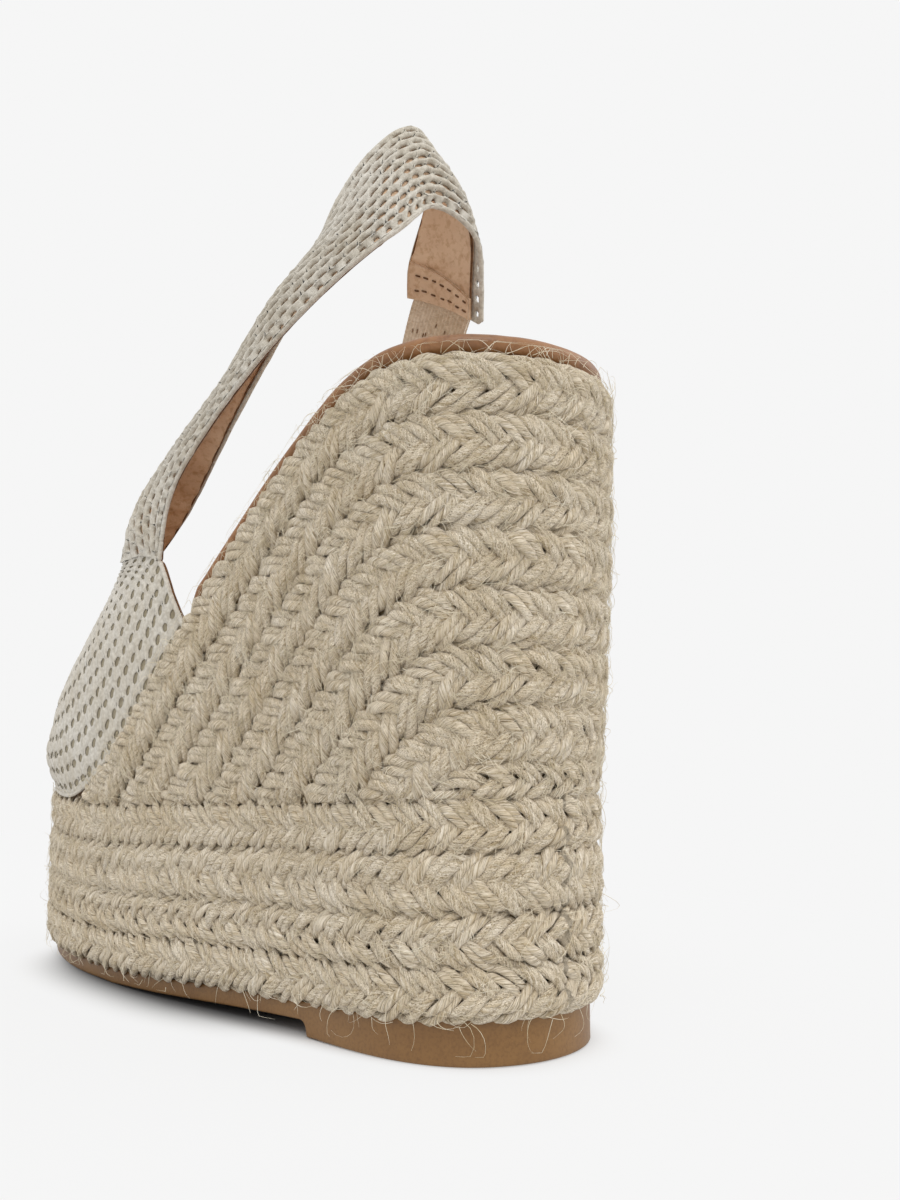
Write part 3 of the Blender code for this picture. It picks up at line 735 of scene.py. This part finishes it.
def net(name, surface, cells, rows, hole, crown, seed, replaces, warp=None, brick=1, body=None):
    """Knotted cotton net with real holes in rows, in brick order or not, raised between them.

    hole(u, v) gives each hole's half sizes as shares of its cell; crown(eu, ev) the yarn's height at
    steps along and across; warp(u, v) moves points on the surface.
    """
    generator = np.random.default_rng(seed)
    warp = warp or (lambda u, v: (u, v))
    i, j = (a.ravel() for a in np.meshgrid(np.arange(cells), np.arange(rows), indexing="ij"))
    whole = (j % 2 * brick == 0) | (i < cells - 1)
    i, j = i[whole], j[whole]
    corner_u, corner_v = 4 * i + 2 * brick * (j % 2), 2 * j
    key_u = corner_u[:, None] + CELL_EDGE[:, 0]
    key_v = corner_v[:, None] + CELL_EDGE[:, 1]
    stride = 2 * rows + 1
    half = np.arange(1, rows, 2)[:rows * brick]
    half_u = np.concatenate([np.zeros(len(half), int), np.full(len(half), 4 * cells - 2)])
    half_v = np.concatenate([2 * half, 2 * half])
    extra = np.stack([(half_u + du) * stride + half_v + dv for du in (0, 1, 2) for dv in (0, 1, 2)], 1)
    keys = np.concatenate([(key_u * stride + key_v).ravel(), extra.ravel()])
    unique, inverse = np.unique(keys, return_inverse=True)
    eu, ev = unique // stride, unique % stride
    count = len(unique)
    jog = generator.normal(size=(2, count)) * 0.09
    jog[:, (eu == 0) | (eu == 4 * cells) | (ev == 0) | (ev == 2 * rows)] = 0
    u, v = warp((eu + jog[0]) / (4 * cells), (ev + jog[1]) / (2 * rows))
    high = crown(eu, ev) * (1 + 0.05 * generator.normal(size=count))
    blocks = [surface.at(u, v, high), surface.at(u, v, NET_BACK)]
    cell_index = inverse[:key_u.size].reshape(-1, 12)
    half_index = inverse[key_u.size:].reshape(-1, 9)
    centre_u, centre_v = corner_u + 2.0, corner_v + 1.0
    hu, hv = hole(centre_u / (4 * cells), centre_v / (2 * rows))
    hu = hu * (1 + 0.10 * generator.normal(size=len(hu)))
    hv = hv * (1 + 0.10 * generator.normal(size=len(hv)))
    tilt = 0.10 * generator.normal(size=len(hu))
    direction = np.arctan2(CELL_EDGE[:, 1] - 1.0, (CELL_EDGE[:, 0] - 2.0) / 2.0)
    edge_height = high[cell_index]
    for grow, level in HOLE_RINGS:
        du = 2.0 * hu[:, None] * grow * np.cos(direction)
        dv = hv[:, None] * grow * np.sin(direction) + tilt[:, None] * du * 0.5
        pu, pv = warp((centre_u[:, None] + du) / (4 * cells), (centre_v[:, None] + dv) / (2 * rows))
        blocks.append(surface.at(pu, pv, NET_BACK + (edge_height - NET_BACK) * level).reshape(-1, 3))
    size = len(hu) * 12
    rings = [2 * count + k * size + np.arange(size).reshape(-1, 12) for k in range(len(HOLE_RINGS))]
    rings = [cell_index] + rings + [cell_index + count]
    faces = [np.stack([a, np.roll(a, -1, 1), np.roll(b, -1, 1), b], -1).reshape(-1, 4)
             for a, b in zip(rings[:-1], rings[1:])]
    for quad in HALF_CELL:
        faces += [half_index[:, quad], half_index[:, quad[::-1]] + count]
    piece(name, np.concatenate(blocks), np.concatenate(faces), NET, "cotton_net", body, replaces)


def capped(points, radius, sides=8):
    """Vertices and faces of a tube along an open path, with both ends drawn in to a point."""
    radius = np.broadcast_to(radius, len(points)).astype(float).copy()
    radius[[0, -1]] *= 0.05
    tangent = unit(np.gradient(points, axis=0))
    side = np.cross(tangent, (0.0, 0.0, 1.0))
    weak = np.linalg.norm(side, axis=1) < 0.2
    side[weak] = np.cross(tangent[weak], (1.0, 0.0, 0.0))
    side /= np.linalg.norm(side, axis=1)[:, None]
    other = np.cross(side, tangent)
    theta = np.arange(sides) * 2 * math.pi / sides
    r = radius[:, None, None]
    ring = (points[:, None] + side[:, None] * (np.cos(theta)[None, :, None] * r)
            + other[:, None] * (np.sin(theta)[None, :, None] * r))
    return ring.reshape(-1, 3), grid_faces(len(points), sides, closed_columns=True)


def join(parts):
    """One set of points and faces from several."""
    starts = np.cumsum([0] + [len(points) for points, _ in parts])
    return (np.concatenate([points for points, _ in parts]),
            np.concatenate([faces + start for (_, faces), start in zip(parts, starts)]))


def shell(surface, u, v, top, bottom):
    """Closed sheet over a surface's shares u by v, between two offsets given on the grid."""
    return closed_sheet(surface.at(u, v, top), surface.at(u, v, bottom))


def shares(rows, columns, last=1.0):
    return np.meshgrid(np.linspace(0, 1, rows), np.linspace(0, last, columns), indexing="ij")


VAMP = Surface(surface_grid(vamp_cage(), 420, 90)[::-1])
VAMP_REAR = [vamp_cage()[k][2:] for k in (0, -1)]
STRAP = Surface(surface_grid([VAMP_REAR[0]] + SLING, 420, 60))
TAB = Surface(surface_grid(MEDIAL_TAB + [VAMP_REAR[1]], 160, 60))


def wavy(eu, ev):
    """Vamp yarn: knots between neighbouring holes stand highest."""
    knot = np.where((ev % 2 == 0) & (eu % 4 == 0), 1.0, 0.0)
    waist = np.where((ev % 2 == 1) | (eu % 4 == 2), 1.0, 0.0)
    return 0.44 + 0.22 * knot - 0.08 * waist


def corded(eu, ev):
    """Strap yarn: cords along the strap stand above the ties between the slots."""
    cord = np.where(ev % 2 == 0, 1.0, 0.0)
    wave = np.where(eu % 4 == 0, 1.0, 0.0)
    return 0.62 + 0.66 * cord + 0.12 * wave * cord


def vamp_hole(u, v):
    """Holes grow towards the vamp's rear edges and shrink towards its throat."""
    rear = np.clip(1 - np.minimum(u, 1 - u) / 0.09, 0, 1)
    throat = np.clip((v - 0.38) / 0.3, 0, 1)
    return 0.58 + 0.04 * rear - 0.14 * throat, 0.38 + 0.03 * rear - 0.06 * throat


def strap_hole(u, v):
    """Long slots, and rounder holes by the lower edge."""
    edge = np.where(v < 0.11, 1.0, 0.0)
    return 0.66 - 0.22 * edge, 0.46 + 0.20 * edge


def strap_warp(u, v):
    """Rows lie closer together by the lower edge where the strap leaves the wide vamp."""
    return u, np.clip(v, 0, 1) ** (1 + 0.5 * (1 - smooth(u / 0.22)))


def vamp_warp(u, v):
    """Each row up starts a quarter of a hole nearer the vamp's rear edge."""
    end = smooth(np.minimum(u, 1 - u) / 0.07) * np.tanh((u - 0.5) / 0.05)
    return u + 0.25 * VAMP_ROWS / VAMP_CELLS * np.minimum(v, 0.45) * end, v


VAMP_CELLS, VAMP_ROWS = 62, 13
CELL_LENGTH = 4.4
net("vamp_net_cotton", VAMP, VAMP_CELLS, VAMP_ROWS, vamp_hole, wavy, 31, ["vamp_net"], vamp_warp, 0, body=ROOT)
net("sling_net_cotton", STRAP, round(STRAP.length / CELL_LENGTH), 10, strap_hole, corded, 32,
    ["sling_net", "lateral_neck"], strap_warp)
net("medial_tab_net_cotton", TAB, round(TAB.length / CELL_LENGTH), 8, strap_hole, corded, 33,
    ["medial_tab_net", "medial_neck"])


CORD, SEAM = (NET, "cotton_net"), (THREAD, "peach_lining")


def edge_cord(name, surface, lines, radius, out, look, body=None):
    """A thin uneven cord along lines of (u, v) shares."""
    parts = [capped(surface.at(u, v, out), radius * (1 + wobble(len(u), 5.0, len(u), RNG) * 0.07))
             for u, v in lines]
    piece(name, *join(parts), *look, body)


def line_u(v, count, start=0.0, end=1.0):
    return np.linspace(start, end, count), np.full(count, v)


def line_v(u, count, start=0.0, end=1.0):
    return np.full(count, u), np.linspace(start, end, count)


NECK_SHARE = 0.36           # share of the vamp's rear edges that the necks leave free
VAMP_REAR_LINES = [line_v(u, 40, 0.0, NECK_SHARE) for u in (0.0, 1.0)]
edge_cord("vamp_edge_cords", VAMP, [line_u(0.0, 420), line_u(1.0, 300)] + VAMP_REAR_LINES, 0.62, 0.60, CORD, ROOT)
edge_cord("sling_edge_cords", STRAP, [line_u(0.0, 320), line_u(1.0, 320), line_v(1.0, 40)], 0.70, 0.55, CORD)
edge_cord("medial_tab_edge_cords", TAB, [line_u(0.0, 120), line_u(1.0, 120), line_v(0.0, 40)], 0.70, 0.55, CORD)


def low_inset(u):
    """Share of the strap's width by which the lining stops short of its lower edge, behind the heel."""
    return 0.02 + 0.10 * smooth((u - 0.73) / 0.07)


LINING_TOP = 0.985          # the lining's upper edge, as a share across


def lining(name, surface, rows, columns, replaces, seed, inset=np.zeros_like, body=None):
    """Fine lining inside the net, with shallow creases across the strap."""
    generator = np.random.default_rng(seed)
    u = np.linspace(0, 1, rows)
    edge = inset(u)[:, None]
    vv = edge + (LINING_TOP - edge) * np.linspace(0, 1, columns)[None]
    uu = np.broadcast_to(u[:, None], vv.shape)
    waves = zip(*(generator.uniform(low, high, 7) for low, high in ((0.03, 0.09), (2.6, 11), (-1.2, 1.2), (0, 1))))
    crease = sum(high * np.sin(2 * math.pi * (uu * surface.length / long + vv * slant + shift))
                 for high, long, slant, shift in waves)
    piece(name, *shell(surface, uu, vv, -0.08, -0.86 + crease), LINING, "peach_lining", body, replaces)


lining("vamp_lining_peach", VAMP, 240, 50, ["vamp_lining"], 41, body=ROOT)
lining("sling_lining_peach", STRAP, 360, 36, ["sling_lining"], 42, low_inset)
lining("medial_tab_lining_peach", TAB, 120, 36, ["medial_tab_lining"], 43)
# painted shade: this olive sheet darkens the holes of the vamp's net
piece("vamp_net_backing_painted_shade", *shell(VAMP, *shares(240, 40, LINING_TOP), 0.02, -0.06), PAINTED_SHADE_SCRIM, "cotton_net")
u = np.linspace(0, 1, 320)
edge_cord("lining_edge_lines", STRAP, [(u, low_inset(u)), line_u(LINING_TOP, 320)], 0.30, -0.62, SEAM)
edge_cord("medial_tab_lining_edge_lines", TAB, [line_u(0.01, 100), line_u(LINING_TOP, 100)], 0.30, -0.62, SEAM)
edge_cord("vamp_lining_edge_lines", VAMP, VAMP_REAR_LINES + [line_u(1.0, 260)], 0.32, -0.55, SEAM, ROOT)

# The hem at the end of the sling, folded back over the elastic, and its stitches.
HEM_SHARE = 7.5 / STRAP.length


def hem_share(depth, v):
    """u of a line across the slanted hem, that many hem widths up from its end."""
    return 1 - HEM_SHARE * depth * (0.75 + 0.75 * v)


vv = np.broadcast_to(np.linspace(0.10, LINING_TOP, 36)[None], (16, 36))
uu = hem_share(np.linspace(1.0, 0.0, 16)[:, None], vv)
ripple = 0.12 * np.sin(np.linspace(0, 9, 36))[None] * np.linspace(0, 1, 16)[:, None]
piece("hem_fold", *shell(STRAP, uu, vv, -0.90, -1.70 + ripple), LINING, "peach_lining", SLING_BODY)


def stitches(name, depths, out, length, gap):
    """Rows of short thread stitches across the hem."""
    parts = []
    for depth in depths:
        at = np.linspace(0.14, 0.95, 300)
        run = travelled(STRAP.at(hem_share(depth, at), at, out))
        start = 0.0
        while start + length < run[-1]:
            span = np.linspace(start, start + length * RNG.uniform(0.85, 1.1), 7)
            v = np.interp(span, run, at)
            lift = out - 0.20 * np.sin(np.linspace(0, math.pi, 7))
            parts.append(capped(STRAP.at(hem_share(depth + RNG.normal() * 0.02, v), v, lift), 0.27, 6))
            start += length + gap * RNG.uniform(0.8, 1.3)
    piece(name, *join(parts), THREAD, "peach_lining", SLING_BODY)


stitches("hem_stitches", (0.30, 0.72), -1.66, 1.7, 1.0)

# Elastic web between the hem and the medial tab. It runs on under both, and has short woven marks.
ELASTIC_UNDER_HEM = [(-17.6, 60.5, 176.5), (-12.2, 44.5, 186.0)]
ELASTIC_UNDER_TAB = [(-27.6, 35.6, 151.5), (-22.2, 21.0, 161.5)]
GUSSET = Surface(surface_grid([[a, tuple((np.array(a) + np.array(b)) / 2), b] for a, b in
                               [ELASTIC_UNDER_HEM] + ELASTIC + [ELASTIC_UNDER_TAB]], 90, 40))
uu, vv = shares(150, 60)
rib = 0.11 * np.sin(2 * math.pi * vv * 17) + 0.05 * np.sin(2 * math.pi * uu * 33 + 3 * np.sin(vv * 9))
piece("elastic_web_band", *shell(GUSSET, uu, vv, 0.55 + rib, -0.55 + rib), WEB, "elastic_web", SLING_BODY,
      ["elastic_gusset"])
parts = []
for _ in range(26):
    u, v = RNG.uniform(0.12, 0.9), RNG.uniform(0.1, 0.9)
    parts += [capped(GUSSET.at(*line_u(v, 6, u, u + 0.035), out), 0.17, 6) for out in (-0.70, 0.70)]
piece("elastic_marks", *join(parts), ELASTIC_MARK, "elastic_web", SLING_BODY)


# ------------ rim, footbed and outsole

def rim():
    """Leather roll round the footbed's edge, thinner towards its two ends."""
    inside = ARC[ARC_ORDER][(OUTLINE[ARC_ORDER, 1] > RIM_END) & (abs(ARC[ARC_ORDER]) < LENGTH)]
    count, sides = 300, 24
    line = on_outline(np.linspace(inside[0], inside[-1], count)[:, None])
    theta = 2 * math.pi * (np.arange(sides) + 0.5) / sides
    grow = np.clip(np.minimum(np.arange(count), np.arange(count)[::-1]) / 6.0, 0.05, 1.0) ** 0.5
    uneven = 1 + 0.02 * wobble(count, 18.0, count, RNG) + 0.012 * wobble(count, 4.0, count, RNG)
    size = (grow * uneven)[:, None]
    out = RIM_OVERHANG - RIM_WIDTH / 2 * (1 - np.cos(theta)[None] * size)
    up = RIM_HEIGHT / 2 * (np.sin(theta)[None] * size - 1) + RIM_CROWN
    faces = grid_faces(count, sides, closed_columns=True)[:, ::-1]
    piece("rim_leather_roll", beside(line, out, seat(line[1]) + up), faces, RIM_LEATHER, "tan_leather",
          replaces=["rim_binding"])


rim()


def footbed():
    """Leather sheet on the footbed, slightly dished and uneven."""
    rows, columns = 150, 34
    y = (HEEL_Y + TOE_Y) / 2 + (LENGTH / 2 - RIM_WIDTH - 0.05) * np.cos(
        math.pi * (0.02 + 0.96 * np.linspace(0, 1, rows)))
    left, right = side_x(y, RIM_WIDTH, False), side_x(y, RIM_WIDTH, True)
    across = (1 - np.cos(math.pi * np.linspace(0, 1, columns))) / 2
    x = left[:, None] + (right - left)[:, None] * across
    yy = np.broadcast_to(y[:, None], x.shape)
    middle = 1 - (2 * across[None] - 1) ** 2
    rough = 0.05 * np.sin(x * 0.9 + yy * 0.31) + 0.04 * np.sin(yy * 0.8 - x * 0.4)
    high = seat(yy) - 0.5 * middle ** 1.5 - 0.05 + rough * middle
    low = np.maximum(seat(yy) - 1.2, platform_top(yy) + 0.3)
    points, faces = closed_sheet(np.stack([x, yy, high], -1), np.stack([x, yy, low], -1))
    piece("sock_leather_sheet", points, faces[:, ::-1], SOCK_LEATHER, "tan_leather", replaces=["sock_leather"])


footbed()


def outsole():
    """Rubber sole with its raised heel block and the rounded step in front of it."""
    fillet, rounding, gap = 3.0, 0.6, 0.35
    step = HEEL_Y - HEEL_BLOCK_LENGTH
    ys = (HEEL_Y + TOE_Y) / 2 + LENGTH / 2 * np.cos(math.pi * np.linspace(0, 1, 110))
    ys = ys[(ys > step + 1.2) | (ys < step - fillet - 0.8)]
    near_step = step + np.array([0.9, 0.45, 0.15, -0.1, -0.4, -0.8, -1.4, -2.2, -3.0])
    ys = np.sort(np.concatenate([ys, near_step]))[::-1]
    count = len(ys)
    toe = ARC[TOE_INDEX] % GIRTH
    sides = []
    for end in (toe, toe - GIRTH):
        arcs = np.linspace(0.0, end, 2000)
        sides.append(np.interp(-ys, -on_outline(arcs)[1], arcs))
    x, y, nx, ny = on_outline(np.concatenate([sides[0], sides[1][-2:0:-1]]))
    shallow = platform_low(-30.0) - OUTSOLE_THICKNESS

    def under(y):
        """Height of the underside: 0 on the heel block."""
        front = np.maximum(platform_low(y) - OUTSOLE_THICKNESS - shallow, 0.0)
        return front * np.sqrt(1 - (1 - np.clip((step - y) / fillet, 0, 1)) ** 2)

    profile = [(0.0, platform_low, -gap), (-0.02, under, 1.6)]
    profile += [(-rounding * (1 - math.cos(turn)), under, rounding * (1 - math.sin(turn)))
                for turn in np.linspace(0, math.pi / 2, 5)]
    rows = []
    for out, height, up in profile:
        px, py = x + nx * (out - OUTSOLE_INSET), y + ny * (out - OUTSOLE_INSET)
        rows.append(np.stack([px, py, np.minimum(height(py) + up, platform_low(py) - gap)], -1))
    share = np.linspace(0, 1, 12)[None, :, None]

    def filled(row, height):
        """Grid between the two sides of a row, at heights of y."""
        medial = np.concatenate([row[:1], row[count:][::-1], row[count - 1:count]])
        grid = row[:count, None] * (1 - share) + medial[:, None] * share
        grid[..., 2] = height(grid[..., 1])
        return grid.reshape(-1, 3)

    bottom = filled(rows[-1], under)
    lid = filled(rows[0], lambda y: platform_low(y) - gap)
    start = len(profile) * len(x)
    faces = np.concatenate([grid_faces(len(profile), len(x), closed_columns=True),
                            grid_faces(count, 12, start=start)[:, ::-1],
                            grid_faces(count, 12, start=start + count * 12)])
    piece("outsole_rubber_sole", np.concatenate(rows + [bottom, lid]), faces, RUBBER, "outsole_rubber",
          replaces=["rubber_outsole"])


outsole()


# ------------ loose jute fibres

def hairs(name, number, seed, zone, length, lift, radius, segments=7):
    """Thin curved fibres on the plaits: zone(generator, number) gives the arcs and heights of their roots."""
    generator = np.random.default_rng(seed)
    arc, z = zone(generator, number)
    n = len(arc)
    span = generator.uniform(*length, n)
    heading = generator.normal(0, 0.9, n) + np.where(generator.random(n) < 0.5, 0, math.pi)
    turn = generator.normal(0, 1.3, n) / span
    t = np.linspace(0, 1, segments)
    angle = heading[:, None] + turn[:, None] * span[:, None] * t
    du = np.cumsum(np.cos(angle) * span[:, None] / segments, axis=1)
    dz = np.cumsum(np.sin(angle) * span[:, None] / segments, axis=1)
    rise = generator.gamma(1.4, lift / 1.4, n)
    loose_end = generator.random(n) < 0.35
    shape = np.where(loose_end[:, None], t ** 1.6, np.sin(math.pi * t))
    out = -0.35 + rise[:, None] * shape + 0.2 * np.sin(t * 7 + generator.uniform(0, 6, n)[:, None])
    line = on_outline(arc[:, None] + du)
    y = line[1]
    zz = np.minimum(np.maximum(z[:, None] + dz, 3.0), braid_top(y) + 2.5)
    path = beside(line, out + np.where(zz > platform_top(y), flare(y, zz), 0.0), zz)
    tangent = unit(np.gradient(path, axis=1))
    side = unit(np.cross(tangent, (0.31, 0.17, 0.93)))[:, :, None]
    other = np.cross(tangent, side[:, :, 0])[:, :, None]
    theta = np.arange(3) * 2 * math.pi / 3
    taper = radius * (1 - 0.75 * t)[None, :, None, None] * generator.uniform(0.7, 1.3, n)[:, None, None, None]
    ring = path[:, :, None] + (side * np.cos(theta)[:, None] + other * np.sin(theta)[:, None]) * taper
    starts = (np.arange(n) * segments * 3)[:, None, None]
    faces = (grid_faces(segments, 3, closed_columns=True)[None] + starts).reshape(-1, 4)
    piece(name, ring, faces, HAIR, "jute_braid")


def wedge_zone(generator, number):
    arc = generator.uniform(TOP_ARCS[0] + 2, TOP_ARCS[-1] - 2, number)
    y = on_outline(arc)[1]
    low, high = platform_top(y), braid_top(y)
    share = generator.random(number)
    keep = generator.random(number) < (high - low) / 95.0
    return arc[keep], (low + (high - low) * share)[keep]


def base_zone(generator, number):
    arc = generator.uniform(-GIRTH / 2, GIRTH / 2, number)
    return arc, platform_low(on_outline(arc)[1]) + generator.random(number) * PLATFORM_THICKNESS


def rim_zone(generator, number):
    arc = generator.normal(25, 40, number)
    return arc, braid_top(on_outline(arc)[1]) - generator.random(number) ** 2 * 3.5


def heel_zone(generator, number):
    arc = generator.uniform(-5, 55, number)
    return arc, platform_low(on_outline(arc)[1]) + generator.random(number) * 2.0


hairs("jute_fuzz_wedge", 8000, 51, wedge_zone, (3.0, 14.0), 0.55, 0.07)
hairs("jute_fuzz_platform", 3000, 52, base_zone, (3.0, 13.0), 0.55, 0.07)
hairs("jute_strays_rim", 130, 53, rim_zone, (4.0, 13.0), 0.7, 0.06, 9)
hairs("jute_strays_heel", 24, 54, heel_zone, (5.0, 15.0), 1.1, 0.06, 9)


# ------------ cores that stay from the CAD

for name, surface in (
        ("platform_core", plain_material("core_cork", (120, 98, 68), (168, 142, 104))),
        ("wedge_core", plain_material("core_wedge", (124, 100, 70), (170, 144, 106))),
        ("insole_board", plain_material("insole_fibreboard", (112, 90, 60), (150, 124, 90))),
        ("footbed_foam", plain_material("foam_cream", (206, 196, 172), (230, 222, 202)))):
    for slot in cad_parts[name].material_slots:
        slot.material = surface


# ------------ stage

ROUNDNESS = 2.6             # of the footprints: 2 is an ellipse


def maths(tree, operation, *values):
    return node(tree, "ShaderNodeMath", dict(enumerate(values)), operation=operation).outputs[0]


def footprint(tree, centre, half_x, half_y):
    """Distance from a rounded footprint on the floor: 1 on its edge."""
    moved = node(tree, "ShaderNodeVectorMath", {0: position(tree), 1: (0.0, -centre, 0.0)}, operation="ADD")
    parts = node(tree, "ShaderNodeSeparateXYZ", {0: moved.outputs[0]})
    powers = []
    for axis, half in (("X", half_x), ("Y", half_y)):
        size = maths(tree, "ABSOLUTE", maths(tree, "DIVIDE", parts.outputs[axis], half))
        powers.append(maths(tree, "POWER", size, ROUNDNESS))
    return maths(tree, "POWER", maths(tree, "ADD", *powers), 1 / ROUNDNESS)


def eased(tree, value, start, end, most=1.0):
    """Rises smoothly from 0 at start to most at end."""
    limits = {"Value": value, "From Min": start, "From Max": end, "To Max": most}
    return node(tree, "ShaderNodeMapRange", limits, interpolation_type="SMOOTHSTEP").outputs["Result"]


def floor_material():
    """White floor that keeps its shadow close to the shoe: a painted shadow, darkest under the raised front, and a
    painted glow away from the shoe that washes out the real shadow there.
    """
    made, tree, shader = new_material("studio_floor_painted_shadow_and_glow")
    # painted shadow: the floor's colour darkens towards the shoe's footprint, most under the raised front
    under = eased(tree, footprint(tree, -0.018, 0.0455, 0.070), 0.76, 1.24)
    dark, light = 0.15, 0.72
    finish_material(tree, shader, maths(tree, "MULTIPLY_ADD", under, light - dark, dark), None, 0.9,
                    **{"Specular IOR Level": 0.0})
    # painted light: away from the shoe the floor glows with the world's white, which washes out its real shadow;
    # the glow is off where the shadow is painted
    reach = footprint(tree, 0.0, 0.038, 0.108)
    share = maths(tree, "ADD", eased(tree, reach, 0.84, 1.05, 0.90), eased(tree, reach, 2.0, 6.0, 0.10))
    glow = node(tree, "ShaderNodeEmission", {"Color": GLOW})
    share = maths(tree, "MULTIPLY", share, under)
    blend = node(tree, "ShaderNodeMixShader", {0: share, 1: shader.outputs["BSDF"], 2: glow.outputs["Emission"]})
    tree.links.new(blend.outputs["Shader"], tree.nodes["Material Output"].inputs["Surface"])
    return made


bpy.ops.mesh.primitive_circle_add(vertices=96, radius=12.0, fill_type="NGON", location=(0, 0, -0.0002))
floor = bpy.context.object
floor.name = "studio_floor_painted_shadow_and_glow"
floor.data.materials.append(floor_material())

for name, energy, angle, towards in (("soft_key", 1.25, 0.8, (0.42, 0.55, 0.95)),
                                     ("soft_fill", 0.7, 0.9, (-0.80, 0.45, 0.45))):
    bpy.ops.object.light_add(type="SUN")
    sun = bpy.context.object
    sun.name = name
    sun.data.energy = energy
    sun.data.angle = angle
    sun.rotation_euler = Vector(towards).to_track_quat("Z", "Y").to_euler()

world = bpy.data.worlds.new("studio")
world.use_nodes = True
world.node_tree.nodes["Background"].inputs["Color"].default_value = GLOW
bpy.context.scene.world = world
bpy.context.scene.view_settings.view_transform = "Standard"

camera = bpy.data.objects.new("photo_camera", bpy.data.cameras.new("photo_camera"))
bpy.context.scene.collection.objects.link(camera)
camera.location = (0.17934, 0.27144, 0.06412)
camera.rotation_euler = Vector((-0.65742, -0.74290, 0.12611)).to_track_quat("-Z", "Y").to_euler()
camera.data.lens = 34.12
camera.data.sensor_width = 36.0
camera.data.clip_start = 0.01
bpy.context.scene.camera = camera
